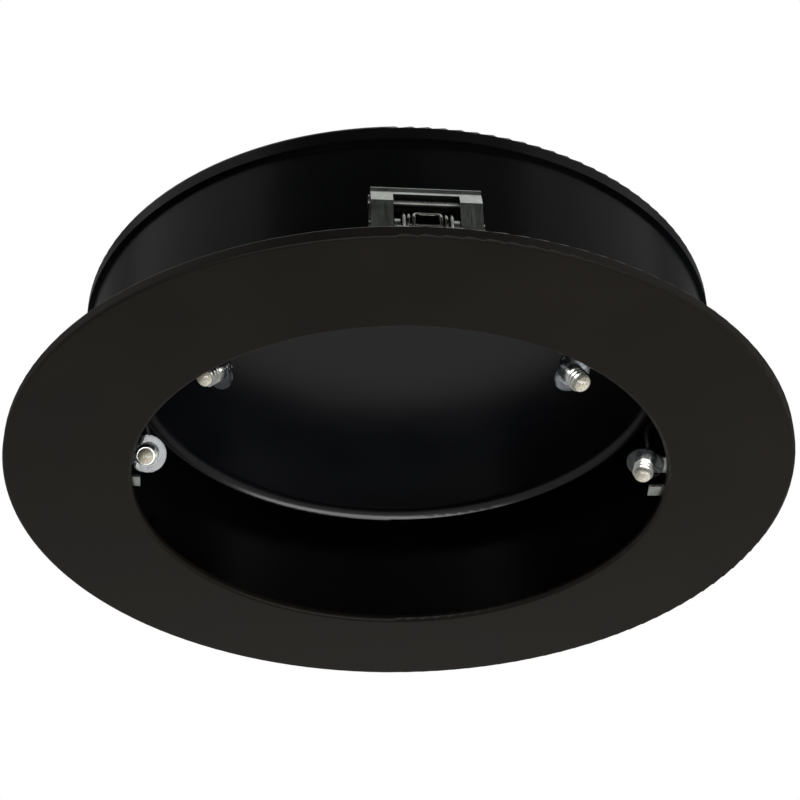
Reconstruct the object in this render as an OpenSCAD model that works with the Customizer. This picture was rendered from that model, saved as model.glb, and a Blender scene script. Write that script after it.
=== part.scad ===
// Recessed soffit downlight: a wide flat trim ring, a black can with a crimped top cover,
// a flat ceiling pan inside it, clear capsule lamps round the aperture and sprung side clips.
// Millimetres, +Z up. The origin is the centre of the trim's visible face, which looks down.
// Angles round the can are counted from the front (-Y) towards +X.

/* [Trim ring] */
// Outside diameter of the trim ring
trim_d = 240; // [216:1:264]
// How far the trim reaches out past the can's wall
trim_past = 21.9; // [21.6:0.1:24]
// How far the trim reaches in from the can's wall to the light aperture
trim_in = 16.5; // [16:0.1:18]
// Sheet thickness of the trim's face
trim_t = 1.5; // [1.2:0.1:2]
// Height of the turned-up outer rim, from the visible face
rim_h = 3.8; // [3.4:0.1:4.4]
// Width of the turned-up outer rim
rim_t = 1.6; // [1.2:0.1:2]
// Rounding of the rim's lower outer corner
rim_round = 0.8; // [0.4:0.1:1.2]
// Height of the turned-up lip round the aperture, from the visible face
lip_h = 2.6; // [2.4:0.1:3]
// Thickness of the aperture lip
lip_t = 1.2; // [0.8:0.1:1.4]
// Width of the foam gasket behind the trim
gasket_w = 7; // [5:0.5:7]
// Height of the foam gasket
gasket_h = 3; // [2.6:0.1:3.4]

/* [Can] */
// Sheet thickness of the can
can_t = 1; // [0.8:0.1:1.2]
// Height of the closed body, from the visible face to the top of the cover
body_h = 58.7; // [52.8:0.1:66]
// Width of the can's outward foot flange
foot_w = 8.5; // [8:0.1:9]
// Sheet thickness of the top cover
cover_t = 0.8; // [0.6:0.1:1]
// Height of the cover's turned-down seam edge
seam_h = 5.2; // [4.4:0.1:6]
// How far the seam edge stands out from the wall
seam_out = 1.4; // [1.2:0.1:1.8]
// Rounding of the cover's outer corner
cover_round = 1.2; // [0.8:0.1:1.6]
// Thickness of the rubber seal under the cover
seal_t = 1; // [0.8:0.1:1.4]

/* [Ceiling pan] */
// Distance of the pan's flat underside below the cover's top
pan_drop = 13; // [12.9:0.1:14.4]
// Sheet thickness of the pan
pan_t = 1.2; // [1:0.1:1.3]
// Inside radius of the pan's turned-down edge
pan_round = 5; // [4:0.5:7]
// Gap between the pan and the can's inner wall
pan_gap = 10.4; // [9.6:0.1:11.6]
// Distance of the pan's studs from the centre
pan_stud_r = 68; // [66:1:72]
// Thread diameter of the pan's studs
pan_stud_d = 4; // [3:0.5:5]

/* [Side clips] */
// Number of side clips round the can
clip_count = 3; // [2:1:3]
// Angle of the first clip from the front
clip_angle = 4.4; // [0:0.1:10]
// Width of a clip bracket
clip_w = 30; // [29.5:0.5:34]
// Width of the window between a bracket's cheeks
clip_window = 18; // [17:0.2:18.2]
// Height of a bracket's lower edge above the visible face
clip_low = 9.6; // [9:0.1:10]
// Height of a bracket's top above the visible face
clip_top = 29.2; // [29:0.1:31]
// Sheet thickness of a bracket and an arm
clip_t = 1; // [0.8:0.1:1.1]
// Height of the pivot above the visible face
pivot_z = 14.7; // [14.6:0.1:15.2]
// Distance of the pivot from the can's wall
pivot_out = 7.4; // [7.3:0.1:7.8]
// Diameter of the pivot pin
pivot_d = 3; // [2.6:0.1:3.2]
// Diameter of the upper cross rod
rod_d = 2.8; // [2.4:0.1:3]
// Angle of a resting arm below the horizontal
arm_rest = 45; // [43:1:46]
// Length of an arm from its pivot to its foot's bend
arm_l = 10.6; // [10.2:0.1:10.8]
// Wire diameter of the double torsion springs
wire_d = 1; // [0.8:0.1:1.1]
// Mean radius of the springs' coils
coil_r = 3.7; // [3.4:0.1:3.8]
// Distance between the turns of a spring's coil
coil_pitch = 1.45; // [1.4:0.05:1.6]
// How far a spring's bridge stands above its pivot
bridge_h = 3.8; // [3.6:0.1:4.2]

/* [Capsule lamps] */
// Diameter of a lamp's clear disc
disc_d = 11.6; // [11:0.1:12]
// Thickness of a lamp's clear disc
disc_t = 1; // [0.8:0.1:1.2]
// Height of the discs' centres above the visible face
disc_z = 9; // [8.8:0.1:10]
// Diameter of a lamp's threaded body
capsule_d = 6.4; // [6:0.1:6.8]
// Diameter of a lamp's lens
lens_d = 5; // [4.6:0.1:5.2]
// Length of a lamp from its disc's centre to the lens's tip
capsule_l = 7.4; // [7.2:0.1:7.6]
// Width of a lamp bracket's upright strip
strip_w = 6; // [5:0.5:6]
// Sheet thickness of a lamp bracket
strip_t = 0.8; // [0.6:0.1:1]
// Diameter of a lamp's lead
lead_d = 1.8; // [1.4:0.1:2]

/* [Driver and wiring] */
// Length of the driver's case
driver_l = 84; // [80:1:88]
// Width of the driver's case
driver_w = 40; // [38:1:42]
// Height of the driver's case with its lid
driver_h = 10.4; // [10:0.1:10.8]
// Distance of the driver's middle towards the front
driver_y = 16; // [15:0.5:17]
// Length of the terminal block
block_l = 30; // [28:1:33]
// Width of the terminal block
block_w = 16; // [14:1:18]
// Height of the terminal block
block_h = 10.4; // [10:0.1:10.8]
// Diameter of the thread on the cable gland
gland_d = 16; // [14:0.5:18]
// Bore of the gland's rubber insert, for the supply cable
cable_d = 7.2; // [6:0.2:8]

/* [Hidden] */
$fn = 64;

// Clearances
pin_play = 0.05;     // a pin, screw or stud in its hole, on the radius
seat_gap = 0.05;     // a formed sheet on the curved wall it is riveted to
side_gap = 0.3;      // an arm beside its bracket and its spring
step = 0.1;          // a lamp bracket's tab above the lip it reaches over
bend_out = 0.01;     // how far a bend in a strip stands proud of its flats
over = 1;            // how far a cutter reaches past what it cuts

// Trim and can
trim_r = trim_d / 2;
can_r = trim_r - trim_past;
aperture_r = can_r - trim_in;
lip_round = lip_t;
rim_top_round = 0.5;
can_in_r = can_r - can_t;
cover_under = body_h - cover_t;
can_top = cover_under - seal_t;
seam_r = can_r + seam_out;
seam_low = body_h - seam_h;
foot_r = can_r + foot_w;
gasket_gap = 0.6;
gasket_out_r = trim_r - rim_t - gasket_gap;
gasket_top = trim_t + gasket_h;

// Studs and nuts that join the can to the trim
stud_r = 1.5;
stud_l = 6;
stud_out = 4.45;
stud_ring_r = can_r + stud_out;
stud_count = 6;
nut_af = 5.5;
nut_h = 2.4;

// Ceiling pan
pan_z = body_h - pan_drop;
pan_r = can_in_r - pan_gap;
pan_top = pan_z + pan_t;
pan_turn = 60;
pan_flat_r = pan_r - (pan_round + pan_t) * sin(pan_turn);
pan_stud_angle = 20;
pan_stud_count = 4;
spacer_wall = 1.6;
spacer_r = pan_stud_d / 2 + pin_play + spacer_wall;
washer_r = 5;
washer_t = 0.8;
cap_af = pan_stud_d * 1.75;
cap_h = 3.2;
cap_dome = 2;

// Driver, terminal block and earth point
driver_low = cover_under - driver_h;
driver_lid_t = 1.2;
driver_corner = 3;
driver_wall = 2;
driver_floor = 1.6;
lid_lip = 0.4;
lid_play = 0.2;
ear_l = 8;
ear_w = 12;
driver_screw_r = 1.5;
screw_head_h = 1.8;
screw_slot_l = 3.2;
screw_slot_w = 0.6;
block_x = -34;
block_y = 34;
block_poles = 3;
terminal_screw_r = 1.8;
earth_x = 32;
earth_y = 34;
earth_r = 2;
tag_t = 0.8;

// Cable gland
gland_y = 50;
gland_r = gland_d / 2;
gland_wall = 2.4;
gland_af = gland_d + 5;
gland_hex_h = 4.6;
gland_neck_h = 6;
gland_nut_h = 12;
gland_washer_t = 1;
gland_thread_below = 7;
locknut_h = 4;
gland_base_z = body_h + gland_washer_t;
gland_neck_z = gland_base_z + gland_hex_h;
gland_top_z = gland_neck_z + gland_neck_h;

// Side clips: heights and distances from the can's axis
pivot_r = can_r + pivot_out;
pin_r = pivot_d / 2;
rod_r = rod_d / 2;
band_out = 0.4;
band_r = pivot_r + band_out;
shoulder_out = 2.7;
front_r = band_r + shoulder_out;
shoulder_h = 5.3;
band_h = 1.9;
window_lip = 1.2;
shoulder_top = clip_top - band_h;
shoulder_low = shoulder_top - shoulder_h;
rod_out = 4.3;
rod_ring_r = can_r + rod_out;
rod_z = shoulder_top - rod_r / 2;
cheek_w = (clip_w - clip_window) / 2;
foot_hole_x = (clip_window + cheek_w - 1.2 * clip_t) / 2;
rivet_angle = asin(foot_hole_x / can_r);
rivet_z = (pivot_z + rod_z) / 2;
rivet_r = 1.5;
rivet_head_r = 2.2;
rivet_head_t = 1.2;
pin_head_out = 0.5;
pin_head_t = 0.4;

// Arms and springs, in a bracket's own place
arm_w = clip_window - 2 * side_gap;
eye_w = 1.5;
eye_wall = 1.2;
eye_r = pin_r + pin_play + eye_wall;
notch_w = arm_w - 2 * eye_w;
notch_gap = 0.6;
notch_r = coil_r + wire_d / 2 + notch_gap;
foot_l = 1.6;
coil_end_x = notch_w / 2 - side_gap - wire_d / 2;
rings_per_turn = 8;
wire_sides = 6;

// Lamps: angle of each from the front, how far its disc's centre lies inside the aperture's edge,
// its tilt outwards from straight down, its lean towards the front, and how far its bracket's tab
// reaches in past the aperture's edge, 0 for none
lamp_angles = [-83.5, -45.5, 46.7, 90];
lamp_insets = [4.3, 8.7, 12.4, 5.5];
lamp_tilts = [3, 43, 31, -15];
lamp_leans = [48, -14, -5, 16];
lamp_tabs = [2.5, 0, 0, 4.5];
lamp_count = len(lamp_angles);
strip_past = 2.9;
strip_r = aperture_r + strip_past;
disc_r = disc_d / 2;
disc_edge = 0.3;
plate_z = trim_t;
plate_l = 11.5;
plate_out_r = strip_r + plate_l;
plate_near = 4;
plate_far = 11;
tab_near = 3.6;
tab_w = 5;
tab_z = lip_h + step;
tongue_rim = 0.8;
tongue_past = 0.9;
neck_in = 0.06;
lamp_stud_x = 7;
lamp_stud_out = 7.3;
lamp_stud_r = aperture_r + lamp_stud_out;
neck_r = 2.2;
capsule_r = capsule_d / 2;
lens_r = lens_d / 2;
lens_h = 2.2;
lens_dome = 1.3;
lens_top = lens_h - capsule_l;
collar_t = 0.6;
thread_count = 3;
thread_pitch = 1.3;
thread_h = 0.5;
back_nut_af = 5.6;
back_nut_t = 1.8;
back_end = 1;
back_l = disc_t / 2 + strip_t + back_nut_t + back_end;
lead_r = lead_d / 2;
lead_sides = 8;
lead_wall_r = (pan_r + can_in_r) / 2;
lead_top_z = (pan_top + cover_under) / 2;
lead_straight = 3;
lead_knee = 13;
lead_bend = 6;

// Colours
black = [0.08, 0.08, 0.085];
dark_sheet = [0.13, 0.13, 0.14];
foam = [0.2, 0.2, 0.2];
zinc = [0.72, 0.74, 0.72];
steel = [0.6, 0.61, 0.62];
spring_steel = [0.8, 0.8, 0.78];
clear = [0.8, 0.82, 0.85, 0.5];
cream = [0.86, 0.83, 0.75];
brass = [0.78, 0.62, 0.3];
white = [0.9, 0.9, 0.88];

// ---------- shared shapes ----------

// A ring about the Z axis
module ring(r_in, r_out, z_low, z_high)
    rotate_extrude() translate([r_in, z_low]) square([r_out - r_in, z_high - z_low]);

// A straight flat bar with round ends, in the plane, from p to q
module bar(p, q, t) {
    d = q - p;
    translate(p) circle(t / 2 + bend_out);
    translate(q) circle(t / 2 + bend_out);
    translate(p) rotate(atan2(d[1], d[0])) translate([0, -t / 2]) square([norm(d), t]);
}

// Stands a profile drawn as [distance from the axis, height] up at the front, w wide
module across(w) rotate([90, 0, -90]) linear_extrude(w, center = true) children();

// A cylinder across the front, through [distance from the axis, height]
module cross_cylinder(place, r, w)
    translate([0, -place[0], place[1]]) rotate([0, 90, 0]) cylinder(h = w, r = r, center = true);

// Turns its children to an angle round the can
module at(angle) rotate([0, 0, angle]) children();

// A hexagon across the flats af
module hexagon(af, h) rotate([0, 0, 30]) cylinder(h = h, r = af / 2 / cos(30), $fn = 6);

// A hexagon nut with a plain bore
module hex_nut(af, h, bore_r) difference() {
    hexagon(af, h);
    translate([0, 0, -1]) cylinder(h = h + 2, r = bore_r);
}

// A block with round upright corners, centred
module round_block(l, w, h, r) linear_extrude(h) {
    square([l - 2 * r, w], center = true);
    square([l, w - 2 * r], center = true);
    for (x = [-1, 1], y = [-1, 1]) translate([x * (l / 2 - r), y * (w / 2 - r)]) circle(r);
}

// Places its children at every pan stud
module at_pan_studs()
    for (i = [0:pan_stud_count - 1])
        at(pan_stud_angle + i * 360 / pan_stud_count) translate([0, -pan_stud_r, 0]) children();

// Places its children at every stud of the can's foot
module at_foot_studs()
    for (i = [0:stud_count - 1]) at(i * 360 / stud_count) translate([0, -stud_ring_r, 0]) children();

// Places its children at every lamp's stud
module at_lamp_studs()
    for (i = [0:lamp_count - 1])
        at(lamp_angles[i]) translate([sign(lamp_angles[i]) * lamp_stud_x, -lamp_stud_r, 0]) children();

// Places its children at both rivets of every clip, pointing out through the wall
module at_rivets()
    for (i = [0:clip_count - 1], side = [-1, 1])
        at(clip_place(i) + side * rivet_angle) translate([0, 0, rivet_z]) rotate([90, 0, 0]) children();

function clip_place(i) = clip_angle + i * 360 / clip_count;

// A point of a smooth curve through four points, t from 0 to 1 between the middle two
function spline_point(a, b, c, d, t) =
    0.5 * (2 * b + (c - a) * t + (2 * a - 5 * b + 4 * c - d) * t * t + (3 * b - a - 3 * c + d) * t * t * t);

// A smooth curve through all points, n steps between each two
function smooth(p, n) = let (last = len(p) - 1) [
    for (i = [0:last - 1], k = [0:n - 1])
        spline_point(p[max(i - 1, 0)], p[i], p[i + 1], p[min(i + 2, last)], k / n),
    p[last]
];

function unit(v) = v / norm(v);

// The direction of a path at its point i
function heading(path, i) = unit(path[min(i + 1, len(path) - 1)] - path[max(i - 1, 0)]);

// A direction square to a path, carried along it from point i without twist
function carried(path, i, n) =
    i == len(path) ? [] : let (ahead = heading(path, i), next = unit(n - (n * ahead) * ahead))
        concat([next], carried(path, i + 1, next));

// A tube of flat sides along a path that doesn't start along X
module tube(path, r, sides) {
    count = len(path);
    square_to = carried(path, 0, cross(heading(path, 0), [1, 0, 0]));
    points = [
        for (i = [0:count - 1])
            let (n = square_to[i], b = cross(heading(path, i), n))
                for (k = [0:sides - 1])
                    path[i] + r * (cos(360 * k / sides) * n + sin(360 * k / sides) * b)
    ];
    first_cap = [[for (k = [0:sides - 1]) k]];
    last_cap = [[for (k = [sides - 1:-1:0]) (count - 1) * sides + k]];
    walls = [
        for (i = [0:count - 2], k = [0:sides - 1])
            let (a = i * sides + k, b = i * sides + (k + 1) % sides)
                for (face = [[a, a + sides, b + sides], [a, b + sides, b]]) face
    ];
    polyhedron(points = points, faces = concat(first_cap, last_cap, walls));
}

// ---------- trim ----------

// The visible flat ring with its rounded, turned-up outer rim and aperture lip
module trim_ring() color(black) rotate_extrude() {
    translate([aperture_r + lip_round, 0])
        square([trim_r - rim_round - aperture_r - lip_round, trim_t]);
    // outer rim
    translate([trim_r - rim_round, rim_round]) circle(rim_round);
    translate([trim_r - rim_t, rim_round]) square([rim_t, rim_h - rim_round - rim_top_round]);
    translate([trim_r - rim_t, trim_t]) square([rim_t - rim_top_round, rim_h - trim_t]);
    translate([trim_r - rim_top_round, rim_h - rim_top_round]) circle(rim_top_round);
    // aperture lip
    translate([aperture_r + lip_round, lip_round]) circle(lip_round);
    translate([aperture_r, lip_round]) square([lip_t, lip_h - lip_round - lip_t / 2]);
    translate([aperture_r + lip_t / 2, lip_h - lip_t / 2]) circle(lip_t / 2);
}

// The foam ring that seals the trim to the soffit board
module soffit_gasket() color(foam) ring(gasket_out_r - gasket_w, gasket_out_r, trim_t, gasket_top);

// Weld studs on the trim's back: six for the can and one for each lamp
module trim_studs() color(zinc) {
    at_foot_studs() translate([0, 0, trim_t]) cylinder(h = stud_l, r = stud_r);
    at_lamp_studs() translate([0, 0, trim_t]) cylinder(h = stud_l, r = stud_r);
}

module trim_nuts() color(zinc)
    at_foot_studs() translate([0, 0, trim_t + can_t]) hex_nut(nut_af, nut_h, stud_r + pin_play);

// ---------- can and cover ----------

// The rolled wall with its outward foot and the bead that the cover is crimped over
module can_wall() color(dark_sheet) difference() {
    union() {
        ring(can_in_r, can_r, trim_t, can_top);
        ring(can_in_r, foot_r, trim_t, trim_t + can_t);
        ring(can_in_r, seam_r - cover_t - seat_gap, seam_low + cover_t + seat_gap, can_top);
    }
    at_foot_studs() cylinder(h = 4 * trim_t, r = stud_r + pin_play);
    at_rivets() translate([0, 0, can_in_r - 2]) cylinder(h = can_t + 4, r = rivet_r + pin_play);
}

// The flat top with its rounded corner and the seam edge turned down and in over the bead
module top_cover() color(dark_sheet) difference() {
    rotate_extrude() {
        translate([0, cover_under]) square([seam_r - cover_round, cover_t]);
        difference() {
            union() {
                translate([seam_r - cover_round, body_h - cover_round]) circle(cover_round);
                translate([seam_r - cover_t, seam_low]) square([cover_t, seam_h - cover_round]);
            }
            translate([0, seam_low + cover_t]) square([seam_r - cover_t, seam_h - 2 * cover_t]);
        }
        translate([can_r + seat_gap, seam_low]) square([seam_out - seat_gap, cover_t]);
    }
    translate([0, 0, cover_under - 1]) {
        at_pan_studs() cylinder(h = cover_t + 2, r = pan_stud_d / 2 + pin_play);
        translate([0, gland_y, 0]) cylinder(h = cover_t + 2, r = gland_r + pin_play);
        at_driver_screws() cylinder(h = cover_t + 2, r = driver_screw_r + pin_play);
        translate([earth_x, earth_y, 0]) cylinder(h = cover_t + 2, r = earth_r + pin_play);
        at_block_bosses() cylinder(h = cover_t + 2, r = driver_screw_r + pin_play);
    }
}

// The flat rubber ring between the wall's top edge and the cover
module seam_seal() color(foam) ring(can_in_r - 1.5, seam_r - cover_t - seat_gap, can_top, cover_under);

// ---------- ceiling pan ----------

// The flat black plate with its edge turned down in a soft curve to a rounded end
module ceiling_pan() color(dark_sheet) rotate_extrude() {
    reach = 2 * (pan_round + pan_t);
    translate([0, pan_z]) square([pan_flat_r, pan_t]);
    translate([pan_flat_r, pan_z - pan_round]) {
        intersection() {
            difference() {
                circle(pan_round + pan_t);
                circle(pan_round);
            }
            polygon([[0, 0], [0, reach], [reach, reach], reach * [sin(pan_turn), cos(pan_turn)]]);
        }
        translate((pan_round + pan_t / 2) * [sin(pan_turn), cos(pan_turn)]) circle(pan_t / 2);
    }
}

// Threaded studs that stand on the pan's back and pass through the cover
module pan_studs() color(zinc)
    at_pan_studs() translate([0, 0, pan_top])
        cylinder(h = body_h + washer_t + cap_h - pan_top - 0.3, r = pan_stud_d / 2);

// Sleeves that set the pan's distance below the cover
module pan_spacers() color(zinc)
    at_pan_studs() ring(pan_stud_d / 2 + pin_play, spacer_r, pan_top, cover_under);

module pan_washers() color(foam)
    at_pan_studs() ring(pan_stud_d / 2 + pin_play, washer_r, body_h, body_h + washer_t);

// Domed cap nuts on the cover
module pan_nuts() color(zinc)
    at_pan_studs() translate([0, 0, body_h + washer_t]) difference() {
        union() {
            hexagon(cap_af, cap_h);
            intersection() {
                translate([0, 0, cap_h - 0.5]) cylinder(h = cap_dome + 0.5, r = cap_af / 2 - 0.3);
                translate([0, 0, cap_h + cap_dome - cap_af / 1.6]) sphere(cap_af / 1.6);
            }
        }
        translate([0, 0, -1]) cylinder(h = 1 + cap_h - 0.2, r = pan_stud_d / 2 + pin_play);
    }

// ---------- driver, terminal block and earth ----------

// Places its children at the driver's two fixing ears
module at_driver_screws()
    for (x = [-1, 1]) translate([x * (driver_l + ear_l) / 2, -driver_y, 0]) children();

// The driver's tub, which hangs below its lid
module driver_case() color(white) difference() {
    translate([0, -driver_y, driver_low])
        round_block(driver_l, driver_w, driver_h - driver_lid_t, driver_corner);
    translate([0, -driver_y, driver_low + driver_floor])
        round_block(driver_l - 2 * driver_wall, driver_w - 2 * driver_wall, driver_h, driver_corner / 2);
}

// The driver's lid with the two ears that are screwed to the cover
module driver_lid() color(white) difference() {
    translate([0, -driver_y, 0]) {
        translate([0, 0, cover_under - driver_lid_t])
            round_block(driver_l, driver_w, driver_lid_t, driver_corner);
        // a lip that drops into the tub
        translate([0, 0, cover_under - driver_lid_t - lid_lip])
            round_block(driver_l - 2 * (driver_wall + lid_play), driver_w - 2 * (driver_wall + lid_play),
                driver_lid_t, driver_corner / 2 - lid_play / 2);
        for (x = [-1, 1])
            translate([x * (driver_l + ear_l) / 2, 0, cover_under - driver_lid_t])
                round_block(ear_l + driver_corner, ear_w, driver_lid_t, driver_corner);
    }
    at_driver_screws() translate([0, 0, cover_under - 2 * driver_lid_t])
        cylinder(h = 3 * driver_lid_t, r = driver_screw_r + pin_play);
}

// Pan-head screws from above, two for the driver and two for the terminal block
module driver_screws() color(zinc) {
    at_driver_screws() pan_screw(cover_under - 2 * driver_lid_t);
    at_block_bosses() pan_screw(cover_under - block_h / 2);
}

// A pan-head screw on the cover that reaches down to z
module pan_screw(z) {
    translate([0, 0, z]) cylinder(h = body_h - z, r = driver_screw_r);
    translate([0, 0, body_h]) difference() {
        intersection() {
            cylinder(h = screw_head_h, r = 2 * driver_screw_r);
            translate([0, 0, screw_head_h - 2.7 * driver_screw_r]) sphere(2.7 * driver_screw_r);
        }
        for (turn = [0, 90]) rotate([0, 0, turn])
            translate([-screw_slot_l / 2, -screw_slot_w / 2, screw_head_h / 2])
                cube([screw_slot_l, screw_slot_w, screw_head_h]);
    }
}

// Places its children at the terminal block's two fixing bosses
module at_block_bosses()
    for (x = [-1, 1]) translate([block_x + x * block_l / block_poles / 2, block_y, 0]) children();

// Places its children at the block's clamp screws
module at_terminals()
    for (i = [0:block_poles - 1], y = [-1, 1])
        translate([block_x + (i - (block_poles - 1) / 2) * block_l / block_poles,
            block_y + y * block_w / 4, 0]) children();

module terminal_block() color(white) difference() {
    translate([block_x, block_y, cover_under - block_h]) round_block(block_l, block_w, block_h, 1);
    // screw wells and wire entries
    at_terminals() translate([0, 0, cover_under - block_h - 1])
        cylinder(h = 5, r = terminal_screw_r + pin_play);
    for (i = [0:block_poles - 1])
        translate([block_x + (i - (block_poles - 1) / 2) * block_l / block_poles,
            block_y, cover_under - block_h / 3.4])
            rotate([90, 0, 0]) cylinder(h = block_w + 2, r = 1.4, center = true);
    at_block_bosses() translate([0, 0, cover_under - block_h / 2 - 0.5])
        cylinder(h = block_h, r = driver_screw_r + pin_play);
}

module terminal_screws() color(brass)
    at_terminals() translate([0, 0, cover_under - block_h + 0.6]) difference() {
        cylinder(h = 3.2, r = terminal_screw_r);
        translate([-terminal_screw_r, -0.25, -1]) cube([2 * terminal_screw_r, 0.5, 1.8]);
    }

// The earth screw hangs head down under the cover and holds a flat ring tag
module earth_screw() color(brass) translate([earth_x, earth_y, 0]) {
    translate([0, 0, cover_under - tag_t - 2.6]) cylinder(h = 2.6, r = 1.8 * earth_r);
    translate([0, 0, cover_under - tag_t - 0.5]) cylinder(h = cover_t + tag_t + nut_h + 1.5, r = earth_r);
}

// The earth screw's nut, on the cover
module earth_nut() color(brass) translate([earth_x, earth_y, body_h])
    hex_nut(3.5 * earth_r, nut_h, earth_r + pin_play);

module earth_tag() color(zinc) difference() {
    translate([earth_x, earth_y, cover_under - tag_t]) {
        cylinder(h = tag_t, r = 2.1 * earth_r);
        translate([0, -0.9 * earth_r, 0]) cube([11, 1.8 * earth_r, tag_t]);
    }
    translate([earth_x, earth_y, cover_under - 2]) cylinder(h = 4, r = earth_r + pin_play);
}

// ---------- cable gland ----------

module gland_body() color(black) translate([0, gland_y, 0]) difference() {
    union() {
        translate([0, 0, cover_under - gland_thread_below])
            cylinder(h = gland_base_z - cover_under + gland_thread_below + 1, r = gland_r);
        translate([0, 0, gland_base_z]) hexagon(gland_af, gland_hex_h);
        translate([0, 0, gland_neck_z - 1]) cylinder(h = gland_neck_h + 1, r = gland_r);
    }
    translate([0, 0, cover_under - gland_thread_below - 1])
        cylinder(h = gland_top_z - cover_under + gland_thread_below + 2, r = gland_r - gland_wall);
}

module gland_washer() color(foam) translate([0, gland_y, 0])
    ring(gland_r + pin_play, gland_af / 2 - 0.2, body_h, gland_base_z);

module gland_locknut() color(black) translate([0, gland_y, cover_under - locknut_h])
    hex_nut(gland_af - 1, locknut_h, gland_r + pin_play);

// The rubber insert that grips the supply cable
module gland_seal() color(foam) translate([0, gland_y, 0])
    ring(cable_d / 2, gland_r - gland_wall - pin_play, gland_neck_z, gland_top_z + 2.5);

// The compression nut with a rounded nose
module gland_nut() color(black) translate([0, gland_y, gland_neck_z + 0.4]) difference() {
    union() {
        hexagon(gland_af, gland_nut_h - 4);
        rotate_extrude() {
            translate([0, gland_nut_h - 5]) square([gland_r + 0.2, 5]);
            translate([0, gland_nut_h - 5]) square([gland_r + 2.2, 3]);
            translate([gland_r + 0.2, gland_nut_h - 2]) circle(2);
        }
    }
    translate([0, 0, -1]) cylinder(h = gland_neck_h + 1.2, r = gland_r + pin_play);
    translate([0, 0, -1]) cylinder(h = gland_neck_h + 3.4, r = gland_r - gland_wall + 0.2);
    translate([0, 0, -1]) cylinder(h = gland_nut_h + 2, r = cable_d / 2 + 1);
}

// ---------- side clips ----------

// The middle of the bracket's sheet from the wall: flat top, upright band, a shoulder that flares
// out, and the cheek down to a height
function bracket_outline(low) = [
    [can_r - 2, clip_top - clip_t / 2],
    [band_r - clip_t / 2, clip_top - clip_t / 2],
    [band_r - clip_t / 2, shoulder_top],
    [front_r - clip_t / 2, shoulder_low],
    [front_r - clip_t / 2, low]
];

module bracket_sheet(low) {
    points = bracket_outline(low);
    for (i = [0:len(points) - 2]) bar(points[i], points[i + 1], clip_t);
}

// The pressed bracket: a box open below, with a window between two cheeks
module clip_bracket() color(zinc) difference() {
    union() {
        difference() {
            across(clip_w) {
                bracket_sheet(clip_low + clip_t / 2);
                polygon(concat(bracket_outline(clip_low), [[can_r - 2, clip_low]]));
            }
            across(clip_w - 2 * clip_t) difference() {
                polygon(concat(bracket_outline(clip_low - 3), [[can_r - 2, clip_low - 3]]));
                bracket_sheet(clip_low - 4);
            }
        }
        // feet on the wall, behind the cheeks
        intersection() {
            ring(can_r + seat_gap, can_r + seat_gap + clip_t, clip_low, clip_top - clip_t / 2);
            for (side = [-1, 1])
                translate([side * (clip_window + cheek_w) / 2 - cheek_w / 2, -can_r - pivot_out, clip_low])
                    cube([cheek_w, 2 * pivot_out, clip_top]);
        }
    }
    // window in the front, under a narrow lip of the shoulder
    translate([-clip_window / 2, -front_r - over, clip_low - over])
        cube([clip_window, front_r - can_r - clip_t, shoulder_top - window_lip - clip_low + over]);
    // the wall's own curve
    cylinder(h = 2 * clip_top, r = can_r + seat_gap);
    cross_cylinder([pivot_r, pivot_z], pin_r + pin_play, clip_w + 2 * over);
    cross_cylinder([rod_ring_r, rod_z], rod_r + pin_play, clip_w + 2 * over);
    for (side = [-1, 1]) at(side * rivet_angle) translate([0, over - can_r, rivet_z])
        rotate([90, 0, 0]) cylinder(h = clip_t + 3 * over, r = rivet_r + pin_play);
}

// A plain pin across the bracket with a head at each end
module headed_pin(place, r) {
    cross_cylinder(place, r, clip_w + 4 * pin_play);
    for (side = [-1, 1])
        translate([side * (clip_w / 2 + 2 * pin_play + pin_head_t / 2), 0, 0])
            cross_cylinder(place, r + pin_head_out, pin_head_t);
}

module clip_pin() color(steel) headed_pin([pivot_r, pivot_z], pin_r);

module clip_rod() color(zinc) headed_pin([rod_ring_r, rod_z], rod_r);

// The swinging arm, a forked strip with two rolled eyes and a foot that presses on the soffit
module clip_arm() color(dark_sheet)
    translate([0, -pivot_r, pivot_z]) {
        bend = arm_l * [cos(-arm_rest), sin(-arm_rest)];
        difference() {
            across(arm_w) {
                circle(eye_r);
                bar([0, 0], bend, clip_t);
                bar(bend, bend + [foot_l, foot_l / 12], clip_t);
            }
            cube([notch_w, 2 * eye_r, 2 * eye_r], center = true);
            rotate([0, 90, 0]) cylinder(h = notch_w, r = notch_r, center = true);
            rotate([0, 90, 0]) cylinder(h = arm_w + 2, r = pin_r + pin_play, center = true);
        }
    }

// The wire of a double torsion spring, left half: a leg on the arm, nearly two open turns round
// the pin, then up into the bridge that joins it to the right half
leg_side = 90 - arm_rest;
bridge_side = 10;
coil_steps = round((720 + bridge_side - leg_side) / 360 * rings_per_turn);
coil_turns = (720 + bridge_side - leg_side) / 360;
bridge_x = coil_end_x - coil_pitch * coil_turns;
leg_rest = clip_t / 2 + wire_d / 2 + pin_play;
function clip_point(x, out, up) = [x, -pivot_r - out, pivot_z + up];
function coil_point(turn) =
    let (angle = leg_side + 360 * turn)
        clip_point(-coil_end_x + coil_pitch * turn, coil_r * cos(angle), coil_r * sin(angle));
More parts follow.
